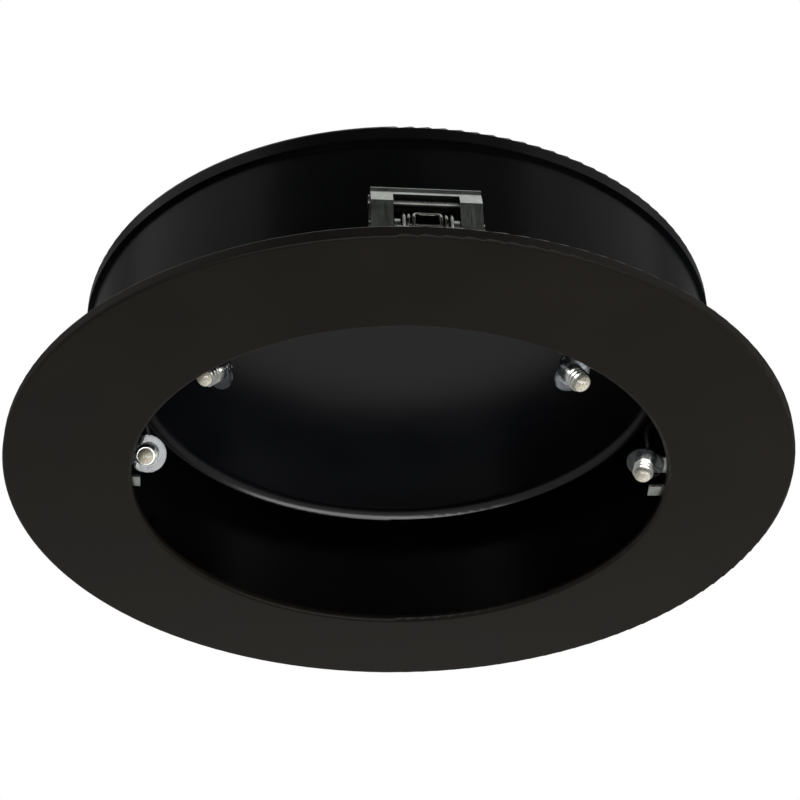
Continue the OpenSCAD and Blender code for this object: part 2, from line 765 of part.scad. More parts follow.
// A point beside the arm: how far along it, and how far above its middle
function beside_arm(along, above) = clip_point(-coil_end_x,
    along * cos(arm_rest) + above * cos(leg_side), -along * sin(arm_rest) + above * sin(leg_side));
spring_half = concat(
    [beside_arm(0.88 * arm_l, leg_rest), beside_arm(0.7 * arm_l, leg_rest),
        beside_arm(0.6 * arm_l, leg_rest + 0.1 * coil_r), beside_arm(0.32 * arm_l, 0.9 * coil_r),
        beside_arm(0.15 * arm_l, coil_r)],
    [for (i = [0:coil_steps]) coil_point(coil_turns * i / coil_steps)],
    [clip_point(-bridge_x, 0.93 * coil_r, 0.4 * bridge_h),
        clip_point(-0.97 * bridge_x, 0.8 * coil_r, 0.66 * bridge_h),
        clip_point(-0.8 * bridge_x, 0.64 * coil_r, 0.86 * bridge_h),
        clip_point(-0.5 * bridge_x, 0.52 * coil_r, 0.95 * bridge_h),
        clip_point(-0.17 * bridge_x, 0.48 * coil_r, 0.98 * bridge_h)]
);
spring_path = concat(
    spring_half,
    [for (i = [len(spring_half) - 1:-1:0]) let (p = spring_half[i]) [-p[0], p[1], p[2]]]
);

// Least gap from the wire to itself, between points more than half a turn apart
wire_gap = min([
    for (i = [0:len(spring_path) - 2], k = [i + rings_per_turn / 2:1:len(spring_path) - 1])
        norm(spring_path[i] - spring_path[k])
]) - wire_d;
echo(str("least gap between the spring's turns: ", wire_gap, " mm"));

module clip_spring() color(spring_steel) tube(spring_path, wire_d / 2, wire_sides);

// Blind rivets through each bracket's feet and the can's wall
module clip_rivets() color(dark_sheet) at_rivets() {
    translate([0, 0, can_in_r - rivet_head_t]) cylinder(h = rivet_head_t - seat_gap, r = rivet_head_r);
    translate([0, 0, can_in_r - 0.5]) cylinder(h = can_t + clip_t + seat_gap + 1, r = rivet_r);
    translate([0, 0, can_r + seat_gap + clip_t + seat_gap]) cylinder(h = rivet_head_t, r = rivet_head_r);
}

// ---------- capsule lamps ----------

// Distance of a lamp's disc from the can's axis, and its sideways turn
function disc_ring_r(i) = aperture_r - lamp_insets[i];
function side_turn(i) = sign(lamp_angles[i]) * lamp_leans[i];

// Where a lamp's back points, in its bracket's place: sideways, inwards and up
function lamp_back(i) = [
    cos(lamp_tilts[i]) * sin(side_turn(i)), sin(lamp_tilts[i]), cos(lamp_tilts[i]) * cos(side_turn(i))
];

// Puts its children in a lamp's own place: origin at the disc's centre, -Z where the lamp looks
module at_lamp(i) at(lamp_angles[i])
    translate([0, -disc_ring_r(i), disc_z]) rotate([-lamp_tilts[i], side_turn(i), 0]) children();

// The strip bracket: a plate on the trim's back, an upright beside the lip, a bent neck and the
// tongue that holds the lamp
module lamp_bracket(i) {
    side = sign(lamp_angles[i]);
    tongue_l = disc_r + tongue_past;
    neck_z = disc_z + tongue_l * sin(lamp_tilts[i]) * cos(side_turn(i))
        + (disc_t + strip_t) / 2 * lamp_back(i)[2];
    color(zinc) difference() {
        union() {
            at(lamp_angles[i]) {
                intersection() {
                    ring(strip_r, plate_out_r, plate_z, plate_z + strip_t);
                    translate([side > 0 ? -plate_near : -plate_far, -plate_out_r - over, 0])
                        cube([plate_near + plate_far, plate_l + 3 * over, 2 * plate_z + strip_t]);
                }
                translate([-strip_w / 2, -strip_r - strip_t, plate_z])
                    cube([strip_w, strip_t, neck_z + strip_t / 2 - plate_z]);
                if (lamp_tabs[i] > 0) lamp_tab(side, lamp_tabs[i]);
            }
            // the neck, a little slimmer than what it joins
            hull() {
                at(lamp_angles[i]) translate([0, -strip_r - strip_t / 2, neck_z]) neck_end();
                at_lamp(i) translate([0, strip_t / 2 - tongue_l, (disc_t + strip_t) / 2]) neck_end();
            }
            at_lamp(i) translate([-strip_w / 2, -tongue_l, disc_t / 2]) cube([strip_w, tongue_l, strip_t]);
            at_lamp(i) translate([0, 0, disc_t / 2]) cylinder(h = strip_t, r = strip_w / 2 + tongue_rim);
        }
        at_lamp(i) cylinder(h = 2 * back_l, r = neck_r + pin_play, center = true);
        at_lamp_studs() cylinder(h = 4 * plate_z, r = stud_r + pin_play);
    }
}

// One end of a bracket's neck
module neck_end()
    cube([strip_w - 2 * neck_in, strip_t - 2 * neck_in, strip_t - 2 * neck_in], center = true);

// The tab that steps up from a bracket's plate and reaches in over the lip, behind the lamp
module lamp_tab(side, past) translate([side > 0 ? tab_near : -tab_near - tab_w, 0, 0]) {
    translate([0, -strip_r - strip_t, plate_z]) cube([tab_w, strip_t, tab_z + strip_t - plate_z]);
    translate([0, -strip_r - strip_t, tab_z]) cube([tab_w, strip_past + strip_t + past, strip_t]);
}

// The clear disc between the threaded body and the tongue
module lamp_disc(i) color(clear) at_lamp(i) difference() {
    union() {
        cylinder(h = disc_t, r = disc_r - disc_edge, center = true);
        cylinder(h = disc_t - 2 * disc_edge, r = disc_r, center = true);
    }
    cylinder(h = disc_t + over, r = neck_r + pin_play, center = true);
}

// The threaded metal body, its neck through the disc and the tongue, and its back nut
module lamp_body(i) color(steel) at_lamp(i) {
    collar_low = -disc_t / 2 - collar_t;
    translate([0, 0, collar_low]) cylinder(h = collar_t, r = capsule_r);
    translate([0, 0, lens_top]) cylinder(h = -disc_t / 2 - lens_top, r = capsule_r - thread_h);
    for (k = [0:thread_count - 1]) translate([0, 0, collar_low - (k + 0.75) * thread_pitch]) {
        translate([0, 0, -thread_pitch / 4])
            cylinder(h = thread_pitch / 4, r1 = capsule_r - thread_h, r2 = capsule_r);
        cylinder(h = thread_pitch / 4, r1 = capsule_r, r2 = capsule_r - thread_h);
    }
    translate([0, 0, -disc_t]) cylinder(h = back_l + disc_t, r = neck_r);
    translate([0, 0, disc_t / 2 + strip_t]) hexagon(back_nut_af, back_nut_t);
}

// The frosted lens: a short barrel with a domed end
module lamp_lens(i) color(cream) at_lamp(i) {
    dome_r = 1.25 * lens_r;
    translate([0, 0, lens_top - lens_h + lens_dome])
        cylinder(h = lens_h - lens_dome, r = lens_r);
    intersection() {
        translate([0, 0, -capsule_l]) cylinder(h = lens_dome, r = lens_r);
        translate([0, 0, dome_r - capsule_l]) sphere(dome_r);
    }
}

module lamp_nuts() color(zinc)
    at_lamp_studs() translate([0, 0, plate_z + strip_t]) hex_nut(nut_af, nut_h, stud_r + pin_play);

// A lead's points in its bracket's place: out of the lamp's back, up the wall, over the pan's
// edge and in to the driver
function lead_points(i) =
    let (
        angle = lamp_angles[i], ring_r = disc_ring_r(i),
        back = [0, -ring_r, disc_z] + (back_l + pin_play) * lamp_back(i),
        to_side = driver_l / 2 / abs(sin(angle)),
        to_front = (driver_y + driver_w / 2) / max(cos(angle), 0.01),
        // a lead that meets the case at a slant stops where its edge touches
        driver_end = to_side < to_front
            ? to_side + lead_r * abs(cos(angle) / sin(angle))
            : to_front + lead_r * abs(tan(angle)),
        knee_z = disc_z + lead_knee,
        rise = pan_z - knee_z
    ) [
        back,
        back + lead_straight * lamp_back(i),
        [0, -ring_r - lead_bend / 3, knee_z],
        [0, -ring_r - 1.5 * lead_bend, knee_z + 0.22 * rise],
        [0, 0.6 * lead_bend - lead_wall_r, knee_z + 0.39 * rise],
        [0, -lead_wall_r, knee_z + 0.63 * rise],
        [0, -lead_wall_r, pan_z - 0.4 * lead_bend],
        [0, -lead_wall_r, lead_top_z - 0.6 * lead_bend],
        [0, 0.4 * lead_bend - lead_wall_r, lead_top_z - 0.1 * lead_bend],
        [0, lead_bend - lead_wall_r, lead_top_z],
        [0, -(lead_wall_r + driver_end) / 2, lead_top_z],
        [0, -driver_end - bend_out, lead_top_z]
    ];

// Thin two-core leads from the lamps to the driver
module lamp_leads() color(black)
    for (i = [0:lamp_count - 1]) at(lamp_angles[i])
        let (points = lead_points(i), rest = [for (k = [1:len(points) - 1]) points[k]])
            tube(concat([points[0]], smooth(rest, 3)), lead_r, lead_sides);

// ---------- the object ----------

trim_ring();
soffit_gasket();
trim_studs();
trim_nuts();
can_wall();
top_cover();
seam_seal();
ceiling_pan();
pan_studs();
pan_spacers();
pan_washers();
pan_nuts();
driver_case();
driver_lid();
driver_screws();
terminal_block();
terminal_screws();
earth_screw();
earth_nut();
earth_tag();
gland_body();
gland_washer();
gland_locknut();
gland_seal();
gland_nut();
at(clip_place(0)) clip_bracket();  // clip_bracket_1
at(clip_place(1)) clip_bracket();  // clip_bracket_2
at(clip_place(2)) clip_bracket();  // clip_bracket_3
at(clip_place(0)) clip_rod();  // clip_rod_1
at(clip_place(1)) clip_rod();  // clip_rod_2
at(clip_place(2)) clip_rod();  // clip_rod_3
at(clip_place(0)) clip_pin();  // clip_pin_1
at(clip_place(1)) clip_pin();  // clip_pin_2
at(clip_place(2)) clip_pin();  // clip_pin_3
at(clip_place(0)) clip_spring();  // clip_spring_1
at(clip_place(1)) clip_spring();  // clip_spring_2
at(clip_place(2)) clip_spring();  // clip_spring_3
at(clip_place(0)) clip_arm();  // clip_arm_1
at(clip_place(1)) clip_arm();  // clip_arm_2
at(clip_place(2)) clip_arm();  // clip_arm_3
clip_rivets();
lamp_bracket(0);  // lamp_bracket_1
lamp_bracket(1);  // lamp_bracket_2
lamp_bracket(2);  // lamp_bracket_3
lamp_bracket(3);  // lamp_bracket_4
lamp_disc(0);  // lamp_disc_1
lamp_disc(1);  // lamp_disc_2
lamp_disc(2);  // lamp_disc_3
lamp_disc(3);  // lamp_disc_4
lamp_body(0);  // lamp_body_1
lamp_body(1);  // lamp_body_2
lamp_body(2);  // lamp_body_3
lamp_body(3);  // lamp_body_4
lamp_lens(0);  // lamp_lens_1
lamp_lens(1);  // lamp_lens_2
lamp_lens(2);  // lamp_lens_3
lamp_lens(3);  // lamp_lens_4
lamp_nuts();
lamp_leads();
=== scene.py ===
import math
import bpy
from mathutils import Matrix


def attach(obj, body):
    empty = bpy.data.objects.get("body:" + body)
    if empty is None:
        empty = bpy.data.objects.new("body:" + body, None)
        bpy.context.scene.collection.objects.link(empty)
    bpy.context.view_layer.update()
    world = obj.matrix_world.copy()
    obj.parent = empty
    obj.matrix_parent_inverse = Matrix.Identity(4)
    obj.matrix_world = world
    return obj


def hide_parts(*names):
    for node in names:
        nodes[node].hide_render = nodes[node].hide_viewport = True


bl_info = {
    "name": "Soffit Downlight",
    "version": (1, 0, 0),
    "blender": (4, 5, 0),
    "location": "View3D > Sidebar > Downlight",
    "description": "Finishes, winds and wires a recessed soffit downlight on its packed frame",
    "category": "Object",
}

import bpy
from mathutils import Matrix, Vector

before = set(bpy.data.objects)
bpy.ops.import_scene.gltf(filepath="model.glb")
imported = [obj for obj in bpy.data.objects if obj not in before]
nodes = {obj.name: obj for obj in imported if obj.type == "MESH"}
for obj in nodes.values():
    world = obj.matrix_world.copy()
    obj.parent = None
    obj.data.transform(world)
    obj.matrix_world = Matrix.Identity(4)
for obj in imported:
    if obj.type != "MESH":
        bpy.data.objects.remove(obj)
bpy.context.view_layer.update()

MM = 0.001

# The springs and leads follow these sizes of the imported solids, in millimetres and degrees.
# Angles round the can are counted from the front (-Y) towards +X.
CLIP_ANGLES = (4.4, 124.4, 244.4)
PIVOT_R = 105.5
PIVOT_Z = 14.7
ARM_REST = 45
COIL_R = 3.7
COIL_END_X = 6.4
COIL_PITCH = 1.45
# from the arm's slope to 10 degrees past the second turn
COIL_TURN = 720 + 10 - ARM_REST
BRIDGE_H = 3.8
# a leg's points, as distances from the pivot along the arm and square to it
LEG = ((9.33, 1.05), (7.42, 1.05), (6.36, 1.42), (3.39, 3.33), (1.59, 3.7))
# half the bridge's points, as shares of its half width, the coil's radius and the bridge's height
BRIDGE = ((1, 0.93, 0.4), (0.97, 0.8, 0.66), (0.8, 0.64, 0.86), (0.5, 0.52, 0.95), (0.17, 0.48, 0.98))

# each lamp's angle, inset from the aperture's edge, tilt outwards and lean forwards
LAMPS = ((-83.5, 4.3, 3, 48), (-45.5, 8.7, 43, -14), (46.7, 12.4, 31, -5), (90, 5.5, -15, 16))
APERTURE_R = 81.6
DISC_Z = 9
LAMP_BACK_L = 4.15
PAN_Z = 45.7
DRIVER_SIDE = 42
DRIVER_FRONT = 36
LEAD_R = 0.9
LEAD_STRAIGHT = 3
LEAD_BEND = 6
LEAD_KNEE_Z = 22
LEAD_WALL_R = 91.9
LEAD_TOP_Z = 52.4
LEAD_GAP = 0.01

# smoothness of the wound and swept pieces
COIL_STEPS = 15
SPRING_STEPS = 5
LEAD_STEPS = 6
WIRE_SIDES = 14

# most of a cloudy pattern lies between these two values
CLOUD_LOW = 0.3
CLOUD_HIGH = 0.7


# ---------- colour and node helpers ----------


def linear(code):
    """An sRGB hex colour, as a designer writes it, turned to linear RGBA."""
    values = [int(code[i : i + 2], 16) / 255 for i in (0, 2, 4)]
    return (*[v / 12.92 if v <= 0.04045 else ((v + 0.055) / 1.055) ** 2.4 for v in values], 1.0)


def across(size_mm):
    """The texture scale that gives a pattern cells of this size."""
    return 1000 / size_mm


def add(tree, kind, settings=None, links=None):
    """Adds a node, sets its properties or sockets, and links its sockets to other nodes' outputs."""
    node = tree.nodes.new(kind)
    for name, value in (settings or {}).items():
        if isinstance(name, str) and hasattr(node, name):
            setattr(node, name, value)
        else:
            node.inputs[name].default_value = value
    for name, source in (links or {}).items():
        tree.links.new(source, node.inputs[name])
    return node


def new_finish(name, settings=None):
    """A material with its output, a shader with these plain settings, and coordinates in metres."""
    material = bpy.data.materials.new(name)
    material.use_nodes = True
    tree = material.node_tree
    tree.nodes.clear()
    output = add(tree, "ShaderNodeOutputMaterial")
    shader = add(tree, "ShaderNodeBsdfPrincipled", settings)
    tree.links.new(shader.outputs["BSDF"], output.inputs["Surface"])
    place = add(tree, "ShaderNodeTexCoord").outputs["Object"]
    return material, tree, shader, place


def clouds(tree, place, size_mm, detail, stretch=None):
    """A cloudy pattern with cells of size_mm, drawn out along each axis where stretch is below 1."""
    if stretch:
        place = add(tree, "ShaderNodeMapping", {"Scale": stretch}, {"Vector": place}).outputs["Vector"]
    settings = {"Scale": across(size_mm), "Detail": detail}
    return add(tree, "ShaderNodeTexNoise", settings, {"Vector": place}).outputs["Fac"]


def tint(tree, shader, pattern, dark, light, start=CLOUD_LOW, end=CLOUD_HIGH):
    """Colours the surface from one sRGB hex shade to another as the pattern goes from start to end."""
    share = add(tree, "ShaderNodeMapRange", {"From Min": start, "From Max": end}, {"Value": pattern})
    # a colour mix has its two colours on sockets 6 and 7 and its result on output 2
    shades = {"data_type": "RGBA", 6: linear(dark), 7: linear(light)}
    mix = add(tree, "ShaderNodeMix", shades, {0: share.outputs["Result"]})
    tree.links.new(mix.outputs[2], shader.inputs["Base Color"])


def roughen(tree, shader, pattern, low, high):
    """Lets the roughness go from low to high with a cloudy pattern."""
    limits = {"From Min": CLOUD_LOW, "From Max": CLOUD_HIGH, "To Min": low, "To Max": high}
    share = add(tree, "ShaderNodeMapRange", limits, {"Value": pattern})
    tree.links.new(share.outputs["Result"], shader.inputs["Roughness"])


def raise_surface(tree, shader, height, depth_mm, strength):
    """Bumps the shader's normal by a height pattern of this depth."""
    settings = {"Strength": strength, "Distance": depth_mm * MM}
    bump = add(tree, "ShaderNodeBump", settings, {"Height": height})
    tree.links.new(bump.outputs["Normal"], shader.inputs["Normal"])


# ---------- finishes ----------


def powder_coat(dark, light):
    """Polyester powder coat, sprayed and baked: an even, warm satin black with a faint orange peel."""
    settings = {"IOR": 1.5, "Specular IOR Level": 0.12}
    material, tree, shader, place = new_finish("powder_coat_black", settings)
    cloud = clouds(tree, place, 38, 3)
    tint(tree, shader, cloud, dark, light)
    roughen(tree, shader, cloud, 0.4, 0.48)
    # the peel is about 0.8 mm across on the real coat and 1.2 mm here, so that it still shows
    raise_surface(tree, shader, clouds(tree, place, 1.2, 2), 0.006, 0.5)
    return material


def stoved_enamel(name, dark, light, rough, gloss):
    """Stoved enamel on rolled sheet: a smooth, slightly bluish black with a soft sheen."""
    settings = {"IOR": 1.5, "Specular IOR Level": gloss}
    material, tree, shader, place = new_finish(name, settings)
    cloud = clouds(tree, place, 30, 3)
    tint(tree, shader, cloud, dark, light)
    roughen(tree, shader, cloud, rough - 0.02, rough + 0.03)
    # enamel flows out to marks some 2 mm across
    raise_surface(tree, shader, clouds(tree, place, 2.0, 2), 0.006, 0.4)
    return material


def bright_zinc(name, dark, light, rough):
    """Electroplated zinc on pressed steel: a cool grey metal, clouded, with hairline draw marks."""
    material, tree, shader, place = new_finish(name, {"Metallic": 1.0})
    tint(tree, shader, clouds(tree, place, 4.5, 4), dark, light)
    # draw marks are some 0.05 mm apart on the real sheet and 0.25 mm here
    marks = clouds(tree, place, 0.25, 3, (1.0, 1.0, 0.06))
    roughen(tree, shader, marks, rough - 0.07, rough + 0.1)
    raise_surface(tree, shader, marks, 0.003, 0.15)
    return material


def drawn_wire():
    """Hard-drawn spring wire: smooth grey steel with a faintly clouded sheen."""
    material, tree, shader, place = new_finish("drawn_spring_wire", {"Metallic": 1.0})
    cloud = clouds(tree, place, 1.5, 3)
    tint(tree, shader, cloud, "4a4946", "6e6d69")
    roughen(tree, shader, cloud, 0.18, 0.3)
    # the die's marks are under 0.1 mm on real wire and 0.3 mm here
    raise_surface(tree, shader, clouds(tree, place, 0.3, 2), 0.003, 0.3)
    return material


def closed_cell_foam():
    """Cut closed-cell foam: dull charcoal, pitted by open cells at its skin."""
    settings = {"Roughness": 0.95, "Specular IOR Level": 0.2}
    material, tree, shader, place = new_finish("closed_cell_foam", settings)
    # cells are about 0.4 mm across on real foam and 0.7 mm here
    cells = add(tree, "ShaderNodeTexVoronoi", {"Scale": across(0.7)}, {"Vector": place}).outputs["Distance"]
    tint(tree, shader, cells, "1c1c1d", "35353a", 0, 1)
    raise_surface(tree, shader, cells, 0.15, 0.8)
    return material


def moulded_rubber():
    """Moulded nitrile rubber: matt black with a dry bloom."""
    settings = {"Roughness": 0.75, "IOR": 1.52, "Specular IOR Level": 0.3}
    material, tree, shader, place = new_finish("moulded_rubber", settings)
    tint(tree, shader, clouds(tree, place, 3, 4), "151516", "262627", 0.35)
    # the mould's matt grain is about 0.1 mm on real rubber and 0.5 mm here
    raise_surface(tree, shader, clouds(tree, place, 0.5, 3), 0.02, 0.4)
    return material


def moulded_plastic(name, dark, light, rough, grain_mm):
    """Injection-moulded plastic: an even colour with a fine spark-eroded grain."""
    material, tree, shader, place = new_finish(name, {"Roughness": rough, "IOR": 1.5})
    tint(tree, shader, clouds(tree, place, 12, 3), dark, light)
    # real grain is about 0.1 mm; each case gives a coarser one that still shows
    raise_surface(tree, shader, clouds(tree, place, grain_mm, 3), 0.015, 0.5)
    return material


def turned_brass():
    """Turned brass: warm yellow metal with tool marks, a little tarnished."""
    material, tree, shader, place = new_finish("turned_brass", {"Metallic": 1.0})
    tint(tree, shader, clouds(tree, place, 2.5, 4), "a8823f", "d6b469", 0.35)
    # tool marks are some 0.1 mm apart on a real screw and 0.2 mm here
    marks = clouds(tree, place, 0.2, 2, (0.1, 0.1, 1.0))
    roughen(tree, shader, marks, 0.22, 0.38)
    raise_surface(tree, shader, marks, 0.003, 0.3)
    return material


def clear_polycarbonate():
    """Moulded polycarbonate: clear, with a smoky tint and a slightly milky face that shows its rim."""
    settings = {"Transmission Weight": 0.96, "IOR": 1.58}
    material, tree, shader, place = new_finish("clear_polycarbonate", settings)
    haze = clouds(tree, place, 2.5, 3)
    tint(tree, shader, haze, "858a93", "a4a9b1")
    roughen(tree, shader, haze, 0.06, 0.14)
    raise_surface(tree, shader, clouds(tree, place, 0.6, 2), 0.01, 0.3)
    return material


def cast_resin():
    """Cast epoxy over a phosphor chip: a creamy, glassy bead with fine sparkling grains in it."""
    settings = {
        "Roughness": 0.22,
        "IOR": 1.54,
        "Subsurface Weight": 0.3,
        "Subsurface Radius": (0.8, 0.7, 0.5),
        "Subsurface Scale": 1.0 * MM,
        "Coat Weight": 0.6,
        "Coat Roughness": 0.08,
    }
    material, tree, shader, place = new_finish("cast_cream_resin", settings)
    # phosphor grains are far finer than this on a real chip; 0.5 mm shows them
    grains = add(tree, "ShaderNodeTexVoronoi", {"Scale": across(0.5)}, {"Vector": place}).outputs["Distance"]
    tint(tree, shader, grains, "f4f0e4", "c8bfa8", 0.2)
    raise_surface(tree, shader, grains, 0.05, 0.5)
    return material


def cable_sheath():
    """Extruded PVC insulation: smooth soft black with a slight gloss."""
    settings = {"Roughness": 0.4, "IOR": 1.53, "Specular IOR Level": 0.35}
    material, tree, shader, place = new_finish("extruded_cable_sheath", settings)
    tint(tree, shader, clouds(tree, place, 5, 2), "0b0b0c", "171718")
    raise_surface(tree, shader, clouds(tree, place, 0.8, 2), 0.01, 0.3)
    return material


def backdrop_paper():
    """Matt paper: pale grey, very slightly uneven."""
    material, tree, shader, place = new_finish("backdrop_paper", {"Roughness": 0.9})
    tint(tree, shader, clouds(tree, place, 900, 1), "e6e6e4", "ecebe9", 0, 1)
    return material


def dress(material, *names):
    """Gives CAD nodes the finish on their own slots."""
    for name in names:
        for slot in nodes[name].material_slots:
            slot.material = material


# ---------- wound and swept pieces ----------


def spline(points, steps):
    """A smooth curve through all the points, with this many steps between each two."""
    out = []
    last = len(points) - 1
    for i in range(last):
        a, b, c, d = (points[min(max(i + k, 0), last)] for k in (-1, 0, 1, 2))
        for k in range(steps):
            t = k / steps
            square = (2 * a - 5 * b + 4 * c - d) * t * t
            cube = (3 * b - a - 3 * c + d) * t**3
            out.append(0.5 * (2 * b + (c - a) * t + square + cube))
    out.append(points[-1])
    return out


def sweep(name, paths, radius):
    """Round wires along one or more paths, with closed ends and a section that doesn't twist."""
    points = []
    faces = []
    for path in paths:
        side = None
        start = len(points)
        for i, place in enumerate(path):
            ahead = (path[min(i + 1, len(path) - 1)] - path[max(i - 1, 0)]).normalized()
            side = ahead.orthogonal() if side is None else side - ahead * side.dot(ahead)
            side.normalize()
            other = ahead.cross(side)
            for k in range(WIRE_SIDES):
                turn = math.tau * k / WIRE_SIDES
                points.append(place + radius * (math.cos(turn) * side + math.sin(turn) * other))
        for i in range(len(path) - 1):
            ring = start + i * WIRE_SIDES
            for k in range(WIRE_SIDES):
                a = ring + k
                b = ring + (k + 1) % WIRE_SIDES
                faces.append((a, b, b + WIRE_SIDES, a + WIRE_SIDES))
        faces.append(tuple(range(start + WIRE_SIDES - 1, start - 1, -1)))
        faces.append(tuple(range(len(points) - WIRE_SIDES, len(points))))
    mesh = bpy.data.meshes.new(name)
    mesh.from_pydata([p[:] for p in points], [], faces)
    for face in mesh.polygons:
        face.use_smooth = len(face.vertices) == 4
    mesh.update()
    piece = bpy.data.objects.new(name, mesh)
    bpy.context.scene.collection.objects.link(piece)
    return piece


def turned(points, angle):
    """Points in millimetres, drawn at the front, turned round the can and given in metres."""
    turn = Matrix.Rotation(math.radians(angle), 3, "Z")
    return [turn @ Vector(p) * MM for p in points]


def spring_path():
    """A double torsion spring's wire at the front: a leg on the arm, nearly two turns round the pin,
    half the bridge, and the same again mirrored. Half of it is drawn as (x, out, up) from the pivot."""
    rest = math.radians(ARM_REST)
    coil_turn = math.radians(COIL_TURN)
    bridge_x = COIL_END_X - COIL_PITCH * coil_turn / math.tau
    half = []
    for along, above in LEG:
        out = along * math.cos(rest) + above * math.sin(rest)
        up = above * math.cos(rest) - along * math.sin(rest)
        half.append((-COIL_END_X, out, up))
    for i in range(COIL_STEPS + 1):
        turn = coil_turn * i / COIL_STEPS
        x = COIL_PITCH * turn / math.tau - COIL_END_X
        half.append((x, COIL_R * math.cos(rest + turn), COIL_R * math.sin(rest + turn)))
    for wide, out, up in BRIDGE:
        half.append((-wide * bridge_x, out * COIL_R, up * BRIDGE_H))
    whole = half + [(-x, out, up) for x, out, up in reversed(half)]
    return spline([Vector((x, -PIVOT_R - out, PIVOT_Z + up)) for x, out, up in whole], SPRING_STEPS)


def lead_path(angle, inset, tilt, lean):
    """A lamp's lead: out of its back, up the wall, over the pan's edge and in to the driver."""
    turn = math.radians(angle)
    tilt = math.radians(tilt)
    # only the lean's size counts here, so the two lamps that lean backwards have leads that start askew
    sideways = math.copysign(math.radians(lean), angle)
    back = Vector(
        (math.cos(tilt) * math.sin(sideways), math.sin(tilt), math.cos(tilt) * math.cos(sideways))
    )
    ring = APERTURE_R - inset
    to_side = DRIVER_SIDE / abs(math.sin(turn))
    # a lead from the very side never meets the driver's front, so the divisor is kept above zero
    to_front = DRIVER_FRONT / max(math.cos(turn), 0.01)
    # a lead that meets the driver at a slant stops where its edge touches
    if to_side < to_front:
        end = to_side + LEAD_R * abs(math.cos(turn) / math.sin(turn))
    else:
        end = to_front + LEAD_R * abs(math.tan(turn))
    rise = PAN_Z - LEAD_KNEE_Z
    points = (
        (ring + LEAD_BEND / 3, LEAD_KNEE_Z),
        (ring + 1.5 * LEAD_BEND, LEAD_KNEE_Z + 0.22 * rise),
        (LEAD_WALL_R - 0.6 * LEAD_BEND, LEAD_KNEE_Z + 0.39 * rise),
        (LEAD_WALL_R, LEAD_KNEE_Z + 0.63 * rise),
        (LEAD_WALL_R, PAN_Z - 0.4 * LEAD_BEND),
        (LEAD_WALL_R, LEAD_TOP_Z - 0.6 * LEAD_BEND),
        (LEAD_WALL_R - 0.4 * LEAD_BEND, LEAD_TOP_Z - 0.1 * LEAD_BEND),
        (LEAD_WALL_R - LEAD_BEND, LEAD_TOP_Z),
        ((LEAD_WALL_R + end) / 2, LEAD_TOP_Z),
        (end + LEAD_GAP, LEAD_TOP_Z),
    )
    start = Vector((0, -ring, DISC_Z)) + LAMP_BACK_L * back
    bend = [start + LEAD_STRAIGHT * back] + [Vector((0, -r, z)) for r, z in points]
    return [start] + spline(bend, LEAD_STEPS)


# ---------- sizes and colours a user would change ----------


class DownlightLook(bpy.types.PropertyGroup):
    coat_dark: bpy.props.StringProperty(
        name="Coat, dark", description="Darker sRGB hex shade of the trim's powder coat", default="130f0a"
    )
    coat_light: bpy.props.StringProperty(
        name="Coat, light", description="Lighter sRGB hex shade of the trim's powder coat", default="19150e"
    )
    wire_width: bpy.props.FloatProperty(
        name="Spring wire",
        description="Diameter of the torsion springs' wire",
        default=1.0 * MM,
        unit="LENGTH",
    )
    lead_width: bpy.props.FloatProperty(
        name="Lead", description="Diameter of a lamp's lead", default=2 * LEAD_R * MM, unit="LENGTH"
    )


class DownlightStudio(bpy.types.PropertyGroup):
    distance: bpy.props.FloatProperty(
        name="Distance", description="From the camera to the trim's centre", default=0.5916, unit="LENGTH"
    )
    below: bpy.props.FloatProperty(
        name="Below",
        description="How far below the horizontal the camera stands",
        default=0.5727,
        unit="ROTATION",
    )
    lens: bpy.props.FloatProperty(
        name="Lens", description="Focal length on a 36 mm sensor", default=86.78, unit="CAMERA"
    )
    floor_drop: bpy.props.FloatProperty(
        name="Floor", description="How far the floor lies below the trim", default=1.1, unit="LENGTH"
    )
    low_power: bpy.props.FloatProperty(
        name="Low softbox", description="Power of the softbox under the trim", default=7.0, unit="POWER"
    )
    top_power: bpy.props.FloatProperty(
        name="Top softbox", description="Power of the softbox over the can", default=4.0, unit="POWER"
    )
    strip_power: bpy.props.FloatProperty(
        name="Strip light",
        description="Power of the strip that is only seen in reflections",
        default=22.0,
        unit="POWER",
    )


# ---------- operators ----------


class DOWNLIGHT_OT_trim(bpy.types.Operator):
    """Coats the trim ring and finishes the gasket, studs and nuts behind it"""

    bl_idname = "downlight.trim"
    bl_label = "Trim and Gasket"

    def execute(self, context):
        look = context.scene.downlight_look
        dress(powder_coat(look.coat_dark, look.coat_light), "trim_ring")
        dress(closed_cell_foam(), "soffit_gasket")
        fixings = bright_zinc("zinc_plated_fixings", "a9aca6", "cfd2cb", 0.26)
        dress(fixings, "trim_studs", "trim_nuts", "lamp_nuts")
        return {"FINISHED"}


class DOWNLIGHT_OT_can(bpy.types.Operator):
    """Enamels the can, its cover and the ceiling pan, and finishes what holds them"""

    bl_idname = "downlight.can"
    bl_label = "Can, Cover and Pan"

    def execute(self, context):
        matt = stoved_enamel("stoved_enamel_matt", "060709", "0a0b0d", 0.24, 0.12)
        dress(matt, "can_wall", "top_cover", "clip_rivets")
        satin = stoved_enamel("stoved_enamel_satin", "08090c", "0d0e11", 0.24, 0.4)
        dress(satin, "ceiling_pan")
        dress(moulded_rubber(), "seam_seal", "pan_washers", "gland_washer", "gland_seal")
        screws = bright_zinc("zinc_plated_screws", "a9aca6", "cfd2cb", 0.24)
        dress(screws, "pan_studs", "pan_spacers", "pan_nuts", "driver_screws", "earth_tag")
        return {"FINISHED"}


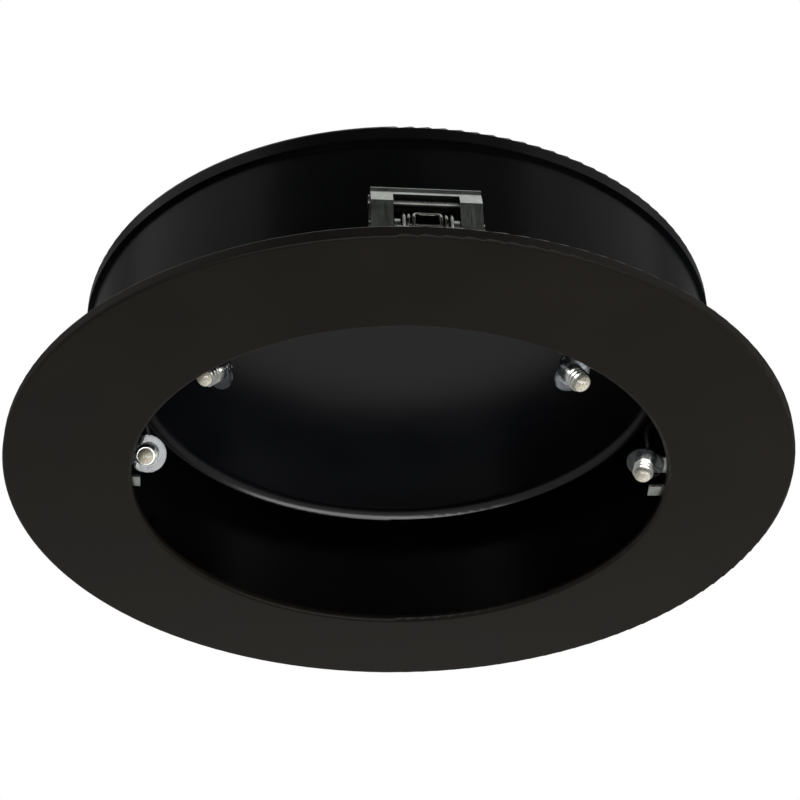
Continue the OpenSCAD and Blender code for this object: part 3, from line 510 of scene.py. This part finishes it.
class DOWNLIGHT_OT_clips(bpy.types.Operator):
    """Plates the side clips and winds their torsion springs"""

    bl_idname = "downlight.clips"
    bl_label = "Side Clips"

    def execute(self, context):
        look = context.scene.downlight_look
        sheet = bright_zinc("zinc_plated_sheet", "626560", "7c807b", 0.34)
        pins = bright_zinc("zinc_plated_pins", "50524e", "666864", 0.32)
        wire = drawn_wire()
        for k, angle in enumerate(CLIP_ANGLES, 1):
            dress(sheet, f"clip_bracket_{k}", f"clip_arm_{k}")
            dress(pins, f"clip_rod_{k}", f"clip_pin_{k}")
            spring = sweep(f"torsion_spring_{k}", [turned(spring_path(), angle)], look.wire_width / 2)
            spring.data.materials.append(wire)
            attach(spring, f"arm_{k}")
            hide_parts(f"clip_spring_{k}")
        return {"FINISHED"}


class DOWNLIGHT_OT_lamps(bpy.types.Operator):
    """Finishes the capsule lamps and their strip brackets"""

    bl_idname = "downlight.lamps"
    bl_label = "Capsule Lamps"

    def execute(self, context):
        finishes = {
            "lamp_bracket": bright_zinc("zinc_plated_strip", "9fa39d", "c6cac3", 0.3),
            "lamp_body": bright_zinc("plated_barrel", "aeb0ac", "d8d9d5", 0.2),
            "lamp_disc": clear_polycarbonate(),
            "lamp_lens": cast_resin(),
        }
        for k in range(1, len(LAMPS) + 1):
            for piece, material in finishes.items():
                dress(material, f"{piece}_{k}")
        return {"FINISHED"}


class DOWNLIGHT_OT_wiring(bpy.types.Operator):
    """Sweeps the lamps' leads and finishes the driver, terminals and cable gland"""

    bl_idname = "downlight.wiring"
    bl_label = "Wiring and Gland"

    def execute(self, context):
        look = context.scene.downlight_look
        case = moulded_plastic("moulded_driver_case", "d6d5ce", "e3e2dc", 0.5, 0.6)
        dress(case, "driver_case", "driver_lid")
        block = moulded_plastic("moulded_terminal_block", "d3d0c5", "e0ddd3", 0.42, 0.5)
        dress(block, "terminal_block")
        dress(turned_brass(), "terminal_screws", "earth_screw", "earth_nut")
        nylon = moulded_plastic("moulded_nylon_black", "121213", "1d1d1f", 0.45, 0.5)
        dress(nylon, "gland_body", "gland_locknut", "gland_nut")
        paths = [turned(lead_path(*lamp), lamp[0]) for lamp in LAMPS]
        leads = sweep("lamp_wires", paths, look.lead_width / 2)
        leads.data.materials.append(cable_sheath())
        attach(leads, "housing")
        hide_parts("lamp_leads")
        return {"FINISHED"}


# ---------- stage ----------

WORLD_FILL = 0.45
FLOOR_SIZE = 14
LAMP_AIM = Vector((0, 0, 0.02))
CARD_AIM = Vector((0, 0, 0.03))
# cards that only show as reflections, each with its size, place and colour: they set the can's wall
# black at the front, and pale and then grey towards the back, as in a product studio
CARDS = (
    ("front_card", (2.6, 1.5), (0, -1.3, 0.72), "0a0a0a"),
    ("left_card", (1.8, 1.5), (-1.45, -0.3, 0.72), "f2f2f2"),
    ("right_card", (1.8, 1.5), (1.45, -0.3, 0.72), "f2f2f2"),
    ("back_left_card", (1.7, 1.5), (-1.01, 1.08, 0.72), "8c8c8c"),
    ("back_right_card", (1.7, 1.5), (1.01, 1.08, 0.72), "8c8c8c"),
)
# the small turns, in radians, that frame the object as the photograph does
CAMERA_YAW = 0.0009
CAMERA_PITCH = 0.0471
CAMERA_ROLL = 0.0123
SENSOR_WIDTH = 36
NEAREST_SEEN = 0.01


def plane(name, size, place, aim=None):
    """A rectangular card that faces a point, or up where none is given."""
    mesh = bpy.data.meshes.new(name)
    w, h = size[0] / 2, size[1] / 2
    mesh.from_pydata([(-w, -h, 0), (w, -h, 0), (w, h, 0), (-w, h, 0)], [], [(0, 1, 2, 3)])
    card = bpy.data.objects.new(name, mesh)
    bpy.context.scene.collection.objects.link(card)
    card.location = place
    if aim is not None:
        card.rotation_euler = (aim - Vector(place)).to_track_quat("Z", "Y").to_euler()
    return card


def softbox(name, size, place, power):
    """A soft rectangular lamp that faces the object and isn't seen by the camera."""
    data = bpy.data.lights.new(name, "AREA")
    data.shape = "RECTANGLE"
    data.size, data.size_y = size
    data.energy = power
    lamp = bpy.data.objects.new(name, data)
    bpy.context.scene.collection.objects.link(lamp)
    lamp.location = place
    lamp.rotation_euler = (LAMP_AIM - Vector(place)).to_track_quat("-Z", "Y").to_euler()
    lamp.visible_camera = False
    return lamp


def light_world(scene):
    """A world that is white where it is seen, mirrored or looked at through a clear piece, and dimmer
    as light on the object."""
    world = bpy.data.worlds.new("studio")
    scene.world = world
    world.use_nodes = True
    tree = world.node_tree
    tree.nodes.clear()
    path = add(tree, "ShaderNodeLightPath").outputs
    seen = path["Is Camera Ray"]
    for ray in ("Is Glossy Ray", "Is Transmission Ray"):
        seen = add(tree, "ShaderNodeMath", {"operation": "MAXIMUM"}, {0: seen, 1: path[ray]}).outputs[0]
    strength = add(tree, "ShaderNodeMapRange", {"To Min": WORLD_FILL, "To Max": 1.0}, {"Value": seen})
    links = {"Strength": strength.outputs["Result"]}
    sky = add(tree, "ShaderNodeBackground", {"Color": (1, 1, 1, 1)}, links)
    out = add(tree, "ShaderNodeOutputWorld")
    tree.links.new(sky.outputs[0], out.inputs["Surface"])


def stand_cards():
    """Stands the cards round the object, hidden from all but reflected rays."""
    for name, size, place, colour in CARDS:
        card = plane(name, size, place, CARD_AIM)
        settings = {"Base Color": linear(colour), "Roughness": 1.0}
        card.data.materials.append(new_finish("studio_" + name, settings)[0])
        for ray in ("camera", "diffuse", "transmission", "shadow"):
            setattr(card, "visible_" + ray, False)


def tipped(first, second, angle):
    """Two square directions, both turned by an angle in their own plane."""
    c, s = math.cos(angle), math.sin(angle)
    return c * first - s * second, s * first + c * second


def place_camera(scene, studio):
    """Stands the camera below the trim, at the photograph's viewing angle."""
    camera = bpy.data.objects.new("camera", bpy.data.cameras.new("camera"))
    scene.collection.objects.link(camera)
    camera.data.lens = studio.lens
    camera.data.sensor_width = SENSOR_WIDTH
    camera.data.clip_start = NEAREST_SEEN
    right = Vector((1, 0, 0))
    up = Vector((0, -math.sin(studio.below), math.cos(studio.below)))
    ahead = Vector((0, math.cos(studio.below), math.sin(studio.below)))
    place = -studio.distance * ahead
    right, ahead = tipped(right, ahead, CAMERA_YAW)
    up, ahead = tipped(up, ahead, CAMERA_PITCH)
    right, up = tipped(right, up, CAMERA_ROLL)
    turn = Matrix((right, up, -ahead)).transposed().to_4x4()
    camera.matrix_world = Matrix.Translation(place) @ turn
    scene.camera = camera


class DOWNLIGHT_OT_stage(bpy.types.Operator):
    """Sets up the pale floor, the soft lamps and the camera below the soffit"""

    bl_idname = "downlight.stage"
    bl_label = "Studio"

    def execute(self, context):
        scene = context.scene
        studio = scene.downlight_studio
        scene.view_settings.view_transform = "Standard"
        light_world(scene)

        floor = plane("studio_floor", (FLOOR_SIZE, FLOOR_SIZE), (0, 0, -studio.floor_drop))
        floor.data.materials.append(backdrop_paper())

        low = softbox("low_softbox", (0.6, 0.6), (0.7, 0.1, -0.75), studio.low_power)
        low.visible_glossy = False
        softbox("top_softbox", (1.1, 1.1), (0.3, -0.2, 1.35), studio.top_power)
        # the strip only shows as a reflection, along the pan's turned edge and on the lamps
        strip = softbox("strip_light", (2.8, 0.35), (0.2, -0.85, -0.88), studio.strip_power)
        strip.visible_diffuse = False
        stand_cards()
        place_camera(scene, studio)
        return {"FINISHED"}


# ---------- panel and registration ----------


class DOWNLIGHT_PT_panel(bpy.types.Panel):
    """Lists the downlight's sizes, colours and steps"""

    bl_label = "Soffit Downlight"
    bl_idname = "DOWNLIGHT_PT_panel"
    bl_space_type = "VIEW_3D"
    bl_region_type = "UI"
    bl_category = "Downlight"

    def draw(self, context):
        for group in (context.scene.downlight_look, context.scene.downlight_studio):
            box = self.layout.box()
            for name in group.__annotations__:
                box.prop(group, name)
        for step in STEPS:
            self.layout.operator(step.bl_idname)


STEPS = (
    DOWNLIGHT_OT_stage,
    DOWNLIGHT_OT_trim,
    DOWNLIGHT_OT_can,
    DOWNLIGHT_OT_clips,
    DOWNLIGHT_OT_lamps,
    DOWNLIGHT_OT_wiring,
)
CLASSES = (DownlightLook, DownlightStudio, *STEPS, DOWNLIGHT_PT_panel)


def register():
    for cls in CLASSES:
        bpy.utils.register_class(cls)
    bpy.types.Scene.downlight_look = bpy.props.PointerProperty(type=DownlightLook)
    bpy.types.Scene.downlight_studio = bpy.props.PointerProperty(type=DownlightStudio)


def unregister():
    del bpy.types.Scene.downlight_studio
    del bpy.types.Scene.downlight_look
    for cls in reversed(CLASSES):
        bpy.utils.unregister_class(cls)


def main():
    register()
    bpy.ops.downlight.stage()
    bpy.ops.downlight.trim()
    bpy.ops.downlight.can()
    bpy.ops.downlight.clips()
    bpy.ops.downlight.lamps()
    bpy.ops.downlight.wiring()
    bpy.context.view_layer.update()


if __name__ == "__main__":
    main()
